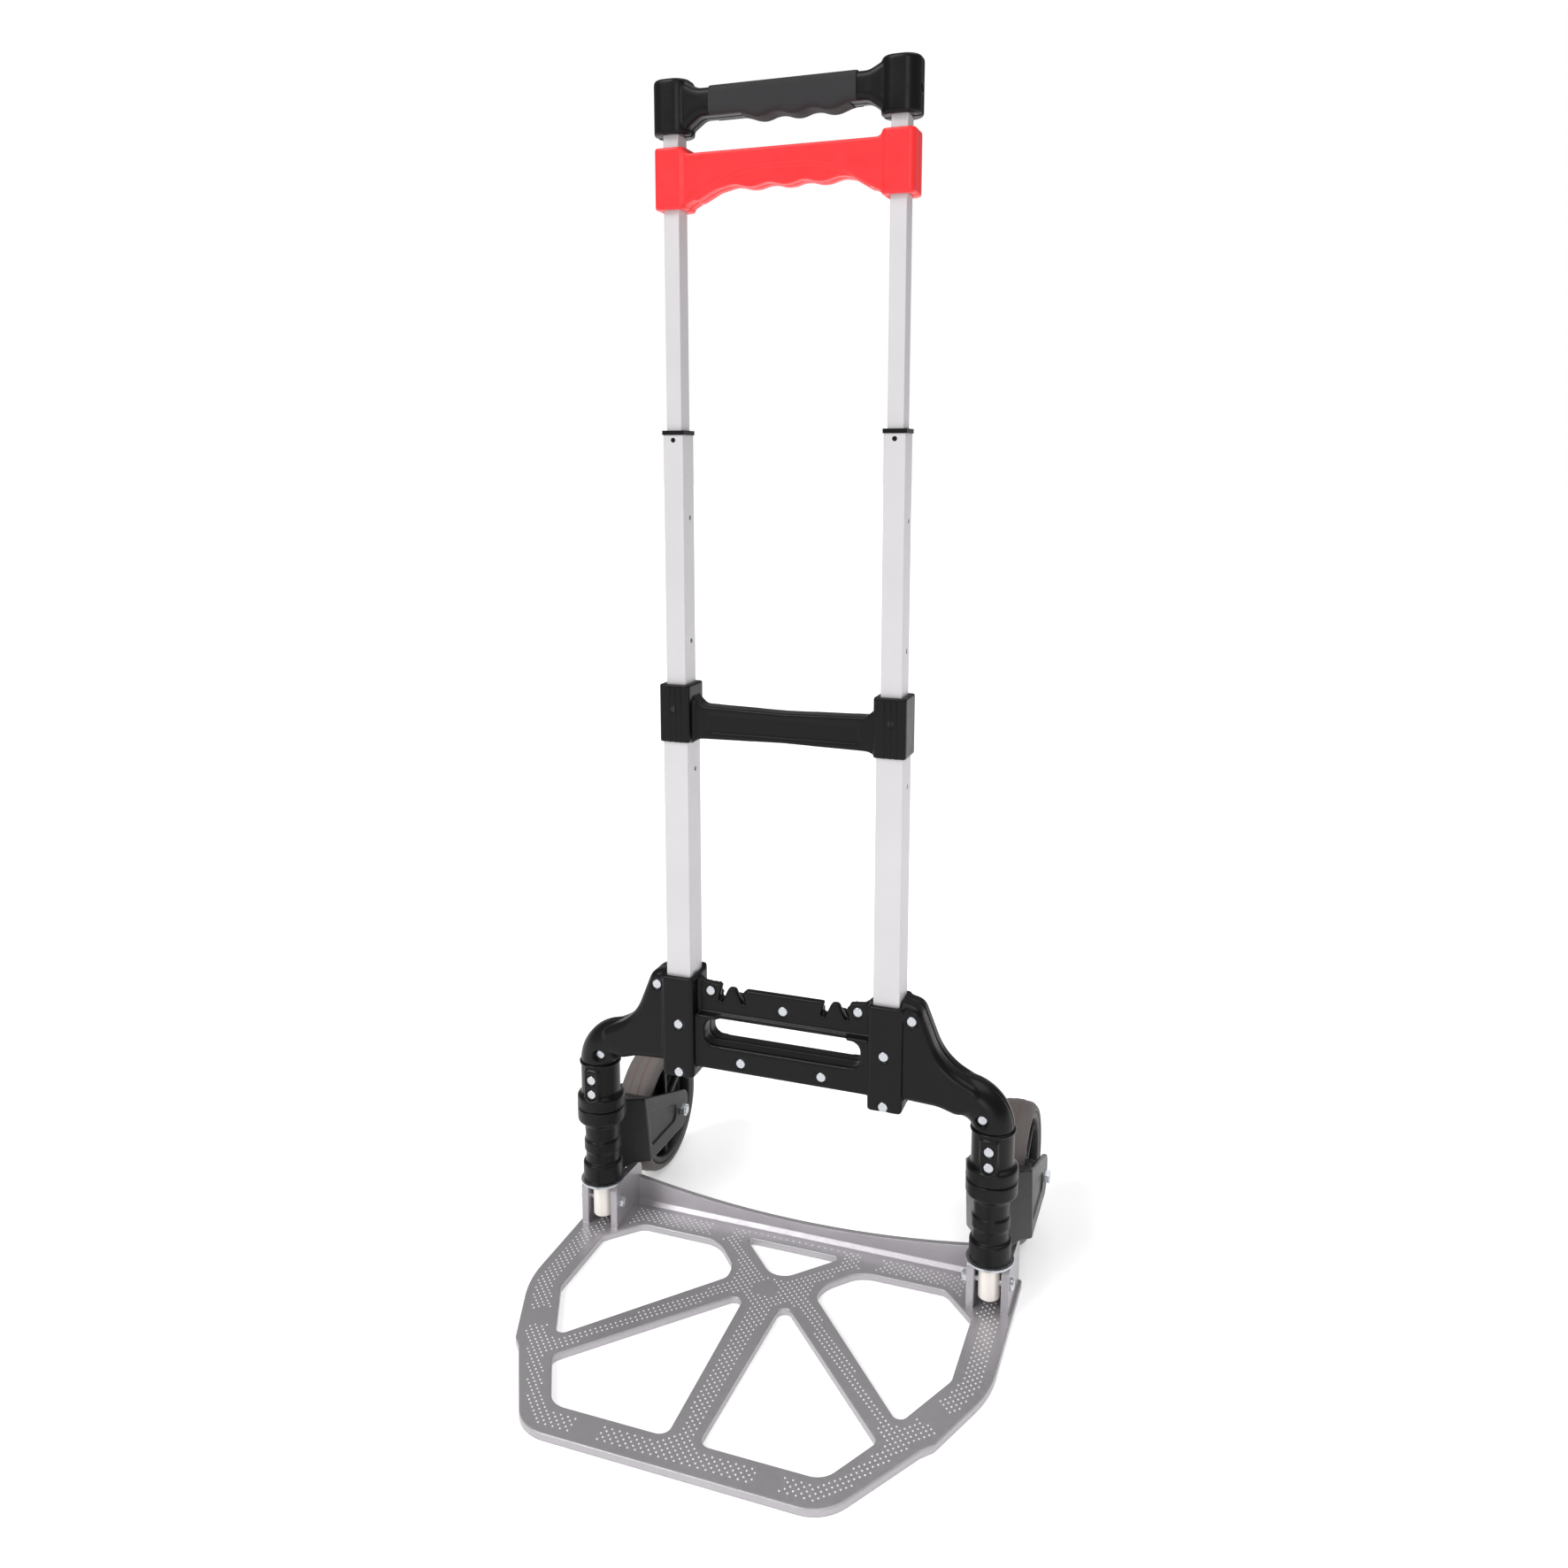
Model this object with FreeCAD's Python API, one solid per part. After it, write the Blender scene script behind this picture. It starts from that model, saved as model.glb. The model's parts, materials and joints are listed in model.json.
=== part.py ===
"""Folding two-wheel hand truck: toe plate, swivelling wheels and a two-stage telescoping handle.

Millimetres, +X to the user's right as seen from the load side, +Y away from the load, +Z up.
Shapes are drawn about the plane through the tube centres (y = 0) with the floor at z = 0, and
ORIGIN_SHIFT_Y moves them so that the origin is the middle of the whole footprint.
"""
import FreeCAD
import Part
import math
import os

V = FreeCAD.Vector

# ---- overall places -------------------------------------------------------------------------
ORIGIN_SHIFT_Y = 33.3        # tube plane, measured from the middle of the footprint
TUBE_X = 93.0                # half the spacing of the two tube columns
POST_X = 180.5               # wheel posts, half spacing
POST_Y = 4.4
FIT = 0.15                   # clearance of sliding guides, each side
RUN = 0.06                   # radial clearance of shafts that turn

# ---- toe plate ------------------------------------------------------------------------------
PLATE_TOP = 6.0
PLATE_BACK_Y = 48.8
WALL_FRONT_Y = 43.8
WALL_END_HEIGHT = 32.5       # above the plate's top, at the ends of the back wall
WALL_MID_HEIGHT = 12.0
HINGE_Z = 29.6
HINGE_R = 3.0
CHEEK_GAP = 11.4             # post axis to a cheek's near face
CHEEK_T = 6.5
CHEEK_TOP = 48.0
CHEEK_FRONT_Y = -4.0

# ---- wheels and their brackets --------------------------------------------------------------
AXLE_TRAIL = 116.0           # axle behind the post axis
AXLE_Z = 64.5
AXLE_R = 4.0
TYRE_R = 63.0
TYRE_HALF = 17.0
RIM_R = 54.0
RIM_LIP_R = 48.0             # inside of the rim
HUB_BOSS_R = 12.5
HUB_BOSS_END = 24.2
SPOKES = 6
FORK_INNER = 24.6            # wheel's middle plane to a fork cheek
FORK_T = 4.0
FORK_BOTTOM = 46.5
FORK_END = 15.5              # rounded end of a fork cheek, behind the axle
WEB_FOLD = (31.0, 44.0)      # fold from web to fork cheek, behind the post axis: at the top, at the bottom
SLEEVE_TOP = 123.2
SLEEVE_BOTTOM = 50.9

# ---- posts and collars ----------------------------------------------------------------------
CORE_R = 9.2
CORE_BOTTOM = 15.0
CORE_TOP = 172.0
COLLAR_TOP = 167.0
COLLAR_BOTTOM = 123.6
COLLAR_R = 17.6
BULGE_R = 21.6
ELBOW_BEND = 25.0

# ---- riveted frame casting ------------------------------------------------------------------
SPLIT_Y = 3.0                # plane where the front and back shells meet
HOUSING_HALF = 14.9
HOUSING_Y = (-17.7, 16.3)
HOUSING_Z = (173.9, 266.0)
WING_Y = (-13.0, 18.0)
WING_ROUND = 7.0             # fillet round the front and back faces of an arm
UPPER_BAR_Y = (-5.5, 9.0)
UPPER_PLATE_BACK = 1.0       # the notched top of the upper bar is a thin plate
UPPER_BAR_Z = (229.0, 257.5)
LOWER_BAR_Y = (-11.6, 16.3)
LOWER_BAR_Z = (183.0, 205.5)
NOTCH_X = 46.6               # middle of each pair of cord notches
RIVET_R = 2.3
RIVET_HEAD_R = 4.1
RIVET_HEAD_T = 1.3
RECESS_R = 5.4

# ---- tubes: width, depth, wall --------------------------------------------------------------
LOWER_TUBE = (22.3, 26.1, 1.2)
MIDDLE_TUBE = (17.5, 21.4, 1.1)
UPPER_TUBE = (13.1, 16.7, 1.1)
LOWER_TUBE_Z = (184.0, 518.0)
MIDDLE_TUBE_Z = (456.0, 728.0)
UPPER_TUBE_Z = (669.0, 995.0)
LOCK_R = 2.0
LOWER_LOCK_Z = 447.6
UPPER_LOCK_Z = 660.6
SPARE_LOCK_Z = 557.7

# ---- crossbar on the lower tubes ------------------------------------------------------------
CROSS_Z = (473.0, 522.3)
CROSS_HALF = 13.6
CROSS_Y = 15.6
CROSS_BAR_Y = 8.5
CROSS_BAR_Z = (477.5, 503.5)

# ---- top handle and release handle ----------------------------------------------------------
CAP_Z = (960.4, 1002.0)
CAP_HALF = (15.4, 14.6)
BAR_TOP = 993.8
BAR_BOTTOM = 972.5
BAR_HALF_Y = 11.6
GRIP_X = (-60.0, 61.0)
GRIP_SKIN = 1.0
FINGER_PITCH = 28.7
GRIP_FINGER_X = 10.0
RELEASE_Z = (903.7, 950.7)
RELEASE_HALF = (13.2, 13.6)
RELEASE_BAR_TOP = 945.6
RELEASE_BAR_HALF_Y = 11.8
RELEASE_LIP_HALF_Y = 9.2
RELEASE_FINGER_X = 3.2
ROD_R = 1.5
ROD_Z = (680.0, 932.0)
SPRING_TOP = 958.0


# ---- helpers --------------------------------------------------------------------------------
def box(x0, x1, y0, y1, z0, z1):
    return Part.makeBox(x1 - x0, y1 - y0, z1 - z0, V(x0, y0, z0))


def rod(radius, start, end):
    """A solid cylinder from one point to another."""
    a = V(*start)
    b = V(*end)
    return Part.makeCylinder(radius, (b - a).Length, a, b - a)


def hex_prism(across_flats, start, end):
    a = V(*start)
    b = V(*end)
    along = (b - a).normalize()
    side = V(0, 0, 1) if abs(along.z) < 0.5 else V(1, 0, 0)
    up = along.cross(side)
    r = across_flats / 2 / math.cos(math.pi / 6)
    corners = []
    for k in range(7):
        t = k * math.pi / 3
        corners.append(a + side * (r * math.cos(t)) + up * (r * math.sin(t)))
    return Part.Face(Part.makePolygon(corners)).extrude(b - a)


def rounded_wire(corners, place):
    """Closed outline through (u, v, radius) corners, each rounded by an arc of that radius."""
    edges = []
    spans = []
    count = len(corners)
    for i in range(count):
        u, v, r = corners[i]
        here = V(u, v, 0)
        before = V(corners[i - 1][0], corners[i - 1][1], 0)
        after = V(corners[(i + 1) % count][0], corners[(i + 1) % count][1], 0)
        din = (here - before).normalize()
        dout = (after - here).normalize()
        turn = din.getAngle(dout)
        if r <= 0 or turn < 1e-3:
            spans.append((here, None, here))
            continue
        reach = r * math.tan(turn / 2)
        bisector = (dout - din).normalize()
        centre = here + bisector * (r / math.cos(turn / 2))
        spans.append((here - din * reach, centre - bisector * r, here + dout * reach))
    for i in range(count):
        start, mid, end = spans[i]
        if mid is not None:
            edges.append(Part.Arc(place(start), place(mid), place(end)).toShape())
        following = spans[(i + 1) % count][0]
        if (following - end).Length > 1e-6:
            edges.append(Part.LineSegment(place(end), place(following)).toShape())
    return Part.Wire(edges)


def prism_xz(corners, y0, y1):
    wire = rounded_wire(corners, lambda p: V(p.x, y0, p.y))
    return Part.Face(wire).extrude(V(0, y1 - y0, 0))


def prism_yz(corners, x0, x1):
    wire = rounded_wire(corners, lambda p: V(x0, p.x, p.y))
    return Part.Face(wire).extrude(V(x1 - x0, 0, 0))


def prism_xy(corners, z0, z1):
    wire = rounded_wire(corners, lambda p: V(p.x, p.y, z0))
    return Part.Face(wire).extrude(V(0, 0, z1 - z0))


def column(x, half_x, half_y, z0, z1, corner=0.0, y=0.0):
    """Upright block of rectangular section with rounded corners."""
    corners = [
        (x - half_x, y - half_y, corner),
        (x + half_x, y - half_y, corner),
        (x + half_x, y + half_y, corner),
        (x - half_x, y + half_y, corner),
    ]
    return prism_xy(corners, z0, z1)


def mirrored(shape):
    return shape.mirror(V(0, 0, 0), V(1, 0, 0))


def both_sides(shape):
    return [shape, mirrored(shape)]


def join(shapes):
    """One clean solid from overlapping shapes."""
    whole = shapes[0].fuse(shapes[1:])
    return whole.removeSplitter()


def turned(profile, x, y):
    """Solid of revolution about an upright axis from (radius, z, corner radius) points."""
    wire = rounded_wire(profile, lambda p: V(x + p.x, y, p.y))
    return Part.Face(wire).revolve(V(x, y, 0), V(0, 0, 1), 360)


def fillet_where(shape, radius, wanted):
    """Round the edges that a test on the edge picks out."""
    edges = [edge for edge in shape.Edges if wanted(edge)]
    return shape.makeFillet(radius, edges)


def flat_in_y(edge, y):
    """True for an edge that lies wholly in the plane at this y."""
    box_ = edge.BoundBox
    return abs(box_.YMin - y) < 1e-3 and abs(box_.YMax - y) < 1e-3


def flat_in_z(edge, z):
    box_ = edge.BoundBox
    return abs(box_.ZMin - z) < 1e-3 and abs(box_.ZMax - z) < 1e-3


def is_face_rim(edge, half):
    """True for the long edges round the front and back faces of a bar this half-depth thick."""
    return (flat_in_y(edge, -half) or flat_in_y(edge, half)) and edge.BoundBox.XLength > 3


def save(name, shape):
    moved = shape.copy()
    moved.translate(V(0, ORIGIN_SHIFT_Y, 0))
    moved.exportStep("parts/" + name + ".step")


def save_pair(name, right_shape):
    save("right_" + name, right_shape)
    save("left_" + name, mirrored(right_shape))


# ---- rivets ---------------------------------------------------------------------------------
# x, z, front of the head, back face of what it clamps; mirrored where x is not zero
FRAME_RIVETS = [
    (173.7, 177.5, -8.6, 17.5),
    (114.3, 254.8, WING_Y[0], WING_Y[1]),
    (66.6, 252.6, UPPER_BAR_Y[0], UPPER_BAR_Y[1]),
    (92.2, 222.8, HOUSING_Y[0], HOUSING_Y[1]),
    (92.2, 178.6, HOUSING_Y[0], HOUSING_Y[1]),
    (36.5, 192.6, LOWER_BAR_Y[0], LOWER_BAR_Y[1]),
    (0.0, 243.2, UPPER_BAR_Y[0], UPPER_BAR_Y[1]),
]
COLLAR_RIVETS_Z = (153.8, 140.2)


def rivet(x, z, front, back):
    """Shank with a domed head at the front and a pressed head at the back."""
    shank = rod(RIVET_R, (x, front + 1.0, z), (x, back - 1.0, z))
    head = rod(RIVET_HEAD_R, (x, front + 0.2, z), (x, front + 0.2 + RIVET_HEAD_T, z))
    head = fillet_where(head, 0.8, lambda e: flat_in_y(e, front + 0.2))
    tail = rod(RIVET_HEAD_R, (x, back - 0.2 - RIVET_HEAD_T, z), (x, back - 0.2, z))
    return join([shank, head, tail])


def rivet_room(x, z, front, back):
    """What a rivet takes out of the shells: its own bore and a round recess at each end."""
    bore = rod(RIVET_R, (x, front, z), (x, back, z))
    front_recess = rod(RECESS_R, (x, front - 8.0, z), (x, front + 0.2 + RIVET_HEAD_T, z))
    back_recess = rod(RECESS_R, (x, back - 0.2 - RIVET_HEAD_T, z), (x, back + 8.0, z))
    return [bore, front_recess, back_recess]


def rivet_places():
    places = []
    for x, z, front, back in FRAME_RIVETS:
        places.append((x, z, front, back))
        if x > 0:
            places.append((-x, z, front, back))
    return places


# ---- riveted frame casting ------------------------------------------------------------------
def on_wing_outline(edge):
    """True for the edges round the front and back faces of an arm, away from the housing."""
    face_edge = flat_in_y(edge, WING_Y[0]) or flat_in_y(edge, WING_Y[1])
    return face_edge and edge.BoundBox.XMax > 96.0


def wing():
    """The arm from a tube housing out to the elbow above a post."""
    outline = [
        (95.0, 271.5, 0.0),
        (120.5, 265.5, 12.0),
        (139.3, 218.6, 50.0),
        (173.0, 202.0, 12.0),
        (172.0, 184.0, 10.0),
        (153.0, 177.5, 14.0),
        (137.0, 182.5, 30.0),
        (95.0, 184.5, 0.0),
    ]
    slab = prism_xz(outline, WING_Y[0], WING_Y[1])
    slab = fillet_where(slab, WING_ROUND, on_wing_outline)
    bend = Part.makeTorus(ELBOW_BEND, COLLAR_R, V(POST_X - ELBOW_BEND, POST_Y, COLLAR_TOP), V(0, 1, 0))
    reach = 60.0
    corner = box(
        POST_X - ELBOW_BEND, POST_X + reach, POST_Y - reach, POST_Y + reach, COLLAR_TOP, COLLAR_TOP + reach
    )
    bend = bend.common(corner)
    return [slab, bend]


def housing():
    block = column(TUBE_X, HOUSING_HALF, 17.0, HOUSING_Z[0], HOUSING_Z[1], 3.0, sum(HOUSING_Y) / 2)
    block = fillet_where(block, 2.0, lambda e: flat_in_z(e, HOUSING_Z[0]) or flat_in_z(e, HOUSING_Z[1]))
    half_depth = LOWER_TUBE[1] / 2
    tab = prism_xz(
        [
            (TUBE_X - HOUSING_HALF, 250.0, 0.0),
            (TUBE_X - HOUSING_HALF, 269.5, 3.0),
            (TUBE_X + HOUSING_HALF, 269.5, 3.0),
            (TUBE_X + HOUSING_HALF, 250.0, 0.0),
        ],
        half_depth,
        HOUSING_Y[1],
    )
    return join([block, tab])


def upper_bar():
    """Bar over the hand slot, rising to the housings at its ends."""
    bottom, top = UPPER_BAR_Z
    front, back = UPPER_BAR_Y
    half = [(80.0, bottom, 0.0), (80.0, 268.0, 0.0), (72.5, 261.0, 9.0), (NOTCH_X + 11.0, 259.7, 0.0)]
    half += [(NOTCH_X, top, 0.0)]
    other = [(-u, v, r) for u, v, r in reversed(half)]
    plate = prism_xz(half + other, front, UPPER_PLATE_BACK)
    lip = box(-80, 80, front - 2.5, front + 1, bottom, bottom + 4)
    rib = box(-80, 80, front + 1, back, bottom, 249.5)
    ends = both_sides(box(60.5, 80, front + 1, back, bottom, 256.8))
    return join([plate, lip, rib] + ends)


def runs_along_bar(edge):
    return edge.BoundBox.XLength > 100.0


def lower_bar():
    bar = box(-80, 80, LOWER_BAR_Y[0], LOWER_BAR_Y[1], LOWER_BAR_Z[0], LOWER_BAR_Z[1])
    return fillet_where(bar, 2.5, runs_along_bar)


def slot_end():
    """Web that closes the hand slot beside a housing, with the slot's round end cut out of it."""
    web = box(58, 80, LOWER_BAR_Y[0], LOWER_BAR_Y[1], LOWER_BAR_Z[1] - 3, UPPER_BAR_Z[0] + 3)
    middle_z = (LOWER_BAR_Z[1] + UPPER_BAR_Z[0]) / 2
    half = (UPPER_BAR_Z[0] - LOWER_BAR_Z[1]) / 2
    opening = prism_xz(
        [
            (20.0, middle_z - half, 0.0),
            (70.5, middle_z - half, 9.0),
            (70.5, middle_z + half, 9.0),
            (20.0, middle_z + half, 0.0),
        ],
        -30,
        30,
    )
    return web.cut(opening)


def cord_notches(centre):
    """Opening for an elastic cord: two slanted slots with a tapered hump between them."""
    above = UPPER_BAR_Z[1] + 8.0
    bottom = 243.7
    outline = [
        (-9.4, above, 0.0),
        (-9.4, 257.6, 0.5),
        (-13.2, bottom, 1.7),
        (-9.4, bottom, 1.7),
        (-3.0, 257.8, 4.0),
        (3.0, 257.8, 4.0),
        (9.4, bottom, 1.7),
        (13.2, bottom, 1.7),
        (9.6, 254.2, 0.5),
        (13.0, 257.4, 0.5),
        (13.0, above, 0.0),
    ]
    return prism_xz([(centre + u, v, r) for u, v, r in outline], -30, 30)


def casting():
    parts = wing() + [mirrored(s) for s in wing()]
    parts += both_sides(housing()) + both_sides(slot_end())
    parts += [upper_bar(), lower_bar()]
    whole = join(parts)
    cuts = both_sides(column(TUBE_X, LOWER_TUBE[0] / 2, LOWER_TUBE[1] / 2, LOWER_TUBE_Z[0], 300.0))
    cuts += both_sides(rod(CORE_R, (POST_X, POST_Y, 150), (POST_X, POST_Y, CORE_TOP)))
    cuts += [cord_notches(NOTCH_X), cord_notches(-NOTCH_X)]
    for place in rivet_places():
        cuts += rivet_room(*place)
    return whole.cut(cuts)


def make_casting():
    whole = casting()
    far = 400.0
    front = box(-far, far, -far, SPLIT_Y, 0, far)
    back = box(-far, far, SPLIT_Y, far, 0, far)
    save("frame_front_shell", whole.common(front))
    save("frame_back_shell", whole.common(back))
    save("frame_rivets", Part.makeCompound([rivet(*place) for place in rivet_places()]))


# ---- posts and collars ----------------------------------------------------------------------
def collar_rivet(z):
    return rivet(POST_X, z, POST_Y - COLLAR_R - 1.6, POST_Y + COLLAR_R)


def make_posts():
    holes = []
    for z in COLLAR_RIVETS_Z:
        holes += rivet_room(POST_X, z, POST_Y - COLLAR_R - 1.6, POST_Y + COLLAR_R)
    core = rod(CORE_R, (POST_X, POST_Y, CORE_BOTTOM), (POST_X, POST_Y, CORE_TOP))
    core = fillet_where(core, 1.2, lambda e: flat_in_z(e, CORE_BOTTOM))
    hinge = rod(HINGE_R + RUN, (POST_X - 20, POST_Y, HINGE_Z), (POST_X + 20, POST_Y, HINGE_Z))
    save_pair("post", core.cut(holes + [hinge]))

    collar = turned(
        [
            (0.0, COLLAR_BOTTOM, 0.0),
            (BULGE_R, COLLAR_BOTTOM, 0.8),
            (BULGE_R, 134.5, 3.0),
            (COLLAR_R, 137.5, 2.0),
            (COLLAR_R, COLLAR_TOP, 0.8),
            (0.0, COLLAR_TOP, 0.0),
        ],
        POST_X,
        POST_Y,
    )
    tab = column(POST_X, 7.5, 4.0, 131.0, 163.0, 1.5, POST_Y - COLLAR_R + 2.4)
    tab = fillet_where(tab, 1.0, lambda e: flat_in_z(e, 131.0) or flat_in_z(e, 163.0))
    collar = join([collar, tab])
    bore = rod(CORE_R, (POST_X, POST_Y, 100), (POST_X, POST_Y, 200))
    save_pair("post_collar", collar.cut(holes + [bore]))

    rivets = [collar_rivet(z) for z in COLLAR_RIVETS_Z]
    save("collar_rivets", Part.makeCompound(rivets + [mirrored(r) for r in rivets]))

    washer = rod(20.0, (POST_X, POST_Y, 48.9), (POST_X, POST_Y, 50.7))
    washer = washer.cut(rod(CORE_R, (POST_X, POST_Y, 40), (POST_X, POST_Y, 60)))
    save_pair("thrust_washer", washer)


# ---- lower tubes, crossbar and mouth guides -------------------------------------------------
def tube(x, section, span):
    width, depth, wall = section
    outside = column(x, width / 2, depth / 2, span[0], span[1], 0.8)
    inside = column(x, width / 2 - wall, depth / 2 - wall, span[0] - 1, span[1] + 1)
    return outside.cut(inside)


def side_hole(x, z, radius):
    """Round hole through the tube wall that faces +X."""
    return rod(radius, (x, 2.5, z), (x + 20, 2.5, z))


def make_lower_tubes():
    for name, x in (("left", -TUBE_X), ("right", TUBE_X)):
        body = tube(x, LOWER_TUBE, LOWER_TUBE_Z)
        rivet_x = math.copysign(92.2, x)
        cuts = [rod(RIVET_R, (rivet_x, -20, 222.8), (rivet_x, 20, 222.8))]
        cuts.append(side_hole(x, LOWER_LOCK_Z, LOCK_R + 0.1))
        cuts.append(rod(1.6, (x + math.copysign(1.0, x), -14, 501.6), (x + math.copysign(1.0, x), -10, 501.6)))
        save(name + "_lower_tube", body.cut(cuts))


def cross_screw():
    shank = rod(1.6, (TUBE_X + 1, -14.6, 501.6), (TUBE_X + 1, -12.2, 501.6))
    head = rod(2.4, (TUBE_X + 1, -15.3, 501.6), (TUBE_X + 1, -14.3, 501.6))
    return join([shank, head])


def crossbar():
    sleeve = column(TUBE_X, CROSS_HALF, CROSS_Y, CROSS_Z[0], CROSS_Z[1], 2.5)
    sleeve = fillet_where(sleeve, 1.2, lambda e: flat_in_z(e, CROSS_Z[0]) or flat_in_z(e, CROSS_Z[1]))
    low, high = CROSS_BAR_Z
    half = [(0.0, low, 0.0), (74.0, low - 1.5, 10.0), (81.0, low - 6.0, 0.0), (81.0, high + 10.0, 0.0)]
    half += [(72.0, high + 0.8, 9.0), (0.0, high - 1.0, 0.0)]
    bar = prism_xz(half, -CROSS_BAR_Y, CROSS_BAR_Y)

    def is_front_rim(e):
        return flat_in_y(e, -CROSS_BAR_Y) and e.BoundBox.XMin < 70 and e.BoundBox.XLength > 5

    bar = fillet_where(bar, 1.5, is_front_rim)
    shapes = both_sides(sleeve) + both_sides(bar)
    whole = join(shapes)
    panel = prism_xz(
        [(-66.0, low + 4.0, 3.0), (66.0, low + 4.0, 3.0), (66.0, high - 5.0, 3.0), (-66.0, high - 5.0, 3.0)],
        -CROSS_BAR_Y - 1,
        -CROSS_BAR_Y + 0.8,
    )
    cuts = [panel]
    pocket = column(TUBE_X, LOWER_TUBE[0] / 2, LOWER_TUBE[1] / 2, CROSS_Z[0] - 1, LOWER_TUBE_Z[1])
    mouth = column(TUBE_X, MIDDLE_TUBE[0] / 2 + FIT, MIDDLE_TUBE[1] / 2 + FIT, 500, CROSS_Z[1] + 1)
    screw_room = rod(2.4, (TUBE_X + 1, -17, 501.6), (TUBE_X + 1, -14.3, 501.6))
    screw_bore = rod(1.6, (TUBE_X + 1, -15, 501.6), (TUBE_X + 1, -12, 501.6))
    cuts += both_sides(pocket) + both_sides(mouth) + both_sides(screw_room) + both_sides(screw_bore)
    for k in range(3):
        groove_x = TUBE_X + 4.5 + 2.6 * k
        groove = box(groove_x, groove_x + 0.8, -CROSS_Y - 1, -CROSS_Y + 0.5, 476, 519.5)
        inner_groove = groove.copy()
        inner_groove.translate(V(-15.0, 0, 0))
        cuts += both_sides(groove) + both_sides(inner_groove)
    return whole.cut(cuts)


def guide_ring(x, outer, inner, z0, z1):
    """Rectangular bush that fills the gap between an outer tube and the tube sliding in it."""
    ring = column(x, outer[0] / 2 - outer[2], outer[1] / 2 - outer[2], z0, z1)
    return ring.cut(column(x, inner[0] / 2 + FIT, inner[1] / 2 + FIT, z0 - 1, z1 + 1))


def make_crossbar():
    save("crossbar", crossbar())
    save("crossbar_screws", Part.makeCompound(both_sides(cross_screw())))
    guide = guide_ring(TUBE_X, LOWER_TUBE, MIDDLE_TUBE, 500.0, LOWER_TUBE_Z[1])
    save("lower_tube_guides", Part.makeCompound(both_sides(guide)))


# ---- toe plate ------------------------------------------------------------------------------
SIDE_OPENING = [
    (170.4, -17.7, 4.0),
    (142.8, 11.6, 12.0),
    (67.0, 11.4, 28.0),
    (41.4, -17.7, 28.0),
    (40.9, -34.9, 12.0),
    (143.2, -152.0, 6.0),
    (170.5, -94.4, 14.0),
]
FRONT_OPENING = [
    (16.6, -47.9, 6.5),
    (133.5, -174.4, 6.5),
    (107.5, -220.9, 18.0),
    (12.6, -220.9, 8.5),
]
BACK_OPENING = [(46.5, 25.3, 3.5), (0.0, -24.9, 17.0), (-46.5, 25.3, 3.5)]


def plate_outline():
    right = [
        (201.6, PLATE_BACK_Y, 3.0),
        (201.4, -96.0, 110.0),
        (172.8, -164.6, 5.0),
        (164.8, -173.0, 5.0),
        (117.9, -250.0, 35.0),
    ]
    left = [(-u, v, r) for u, v, r in reversed(right)]
    return right + left


def cheek(x0):
    """Upright ear that carries the hinge bolt beside a post."""
    outline = [
        (CHEEK_FRONT_Y, PLATE_TOP - 1.0, 0.0),
        (CHEEK_FRONT_Y, CHEEK_TOP, 8.0),
        (WALL_FRONT_Y + 2.0, CHEEK_TOP, 3.0),
        (PLATE_BACK_Y, 40.0, 3.0),
        (PLATE_BACK_Y, PLATE_TOP - 1.0, 0.0),
    ]
    return prism_yz(outline, x0, x0 + CHEEK_T)


def back_wall():
    """Wall along the back edge, its top a shallow arc that dips in the middle."""
    reach = POST_X + CHEEK_GAP + CHEEK_T
    end_z = PLATE_TOP + WALL_END_HEIGHT
    top = Part.Arc(
        V(-reach, WALL_FRONT_Y, end_z), V(0, WALL_FRONT_Y, PLATE_TOP + WALL_MID_HEIGHT), V(reach, WALL_FRONT_Y, end_z)
    )
    low = PLATE_TOP - 1.0
    edges = [
        top.toShape(),
        Part.LineSegment(V(reach, WALL_FRONT_Y, end_z), V(reach, WALL_FRONT_Y, low)).toShape(),
        Part.LineSegment(V(reach, WALL_FRONT_Y, low), V(-reach, WALL_FRONT_Y, low)).toShape(),
        Part.LineSegment(V(-reach, WALL_FRONT_Y, low), V(-reach, WALL_FRONT_Y, end_z)).toShape(),
    ]
    return Part.Face(Part.Wire(edges)).extrude(V(0, PLATE_BACK_Y - WALL_FRONT_Y, 0))


def toe_plate():
    slab = prism_xy(plate_outline(), 0.0, PLATE_TOP)
    openings = [prism_xy(BACK_OPENING, -5, 15)]
    openings += both_sides(prism_xy(SIDE_OPENING, -5, 15)) + both_sides(prism_xy(FRONT_OPENING, -5, 15))
    slab = slab.cut(openings)
    slab = fillet_where(slab, 1.0, lambda e: flat_in_z(e, PLATE_TOP))
    inner = cheek(POST_X - CHEEK_GAP - CHEEK_T)
    outer = cheek(POST_X + CHEEK_GAP)
    foot_fillet = prism_yz(
        [(WALL_FRONT_Y - 4.0, PLATE_TOP - 0.5, 0.0), (WALL_FRONT_Y + 1.0, PLATE_TOP + 4.5, 0.0)]
        + [(WALL_FRONT_Y + 1.0, PLATE_TOP - 0.5, 0.0)],
        -POST_X,
        POST_X,
    )
    plate = join([slab, back_wall(), foot_fillet] + both_sides(inner) + both_sides(outer))
    bore = rod(HINGE_R, (POST_X - 30, POST_Y, HINGE_Z), (POST_X + 30, POST_Y, HINGE_Z))
    return plate.cut(both_sides(bore))


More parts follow.
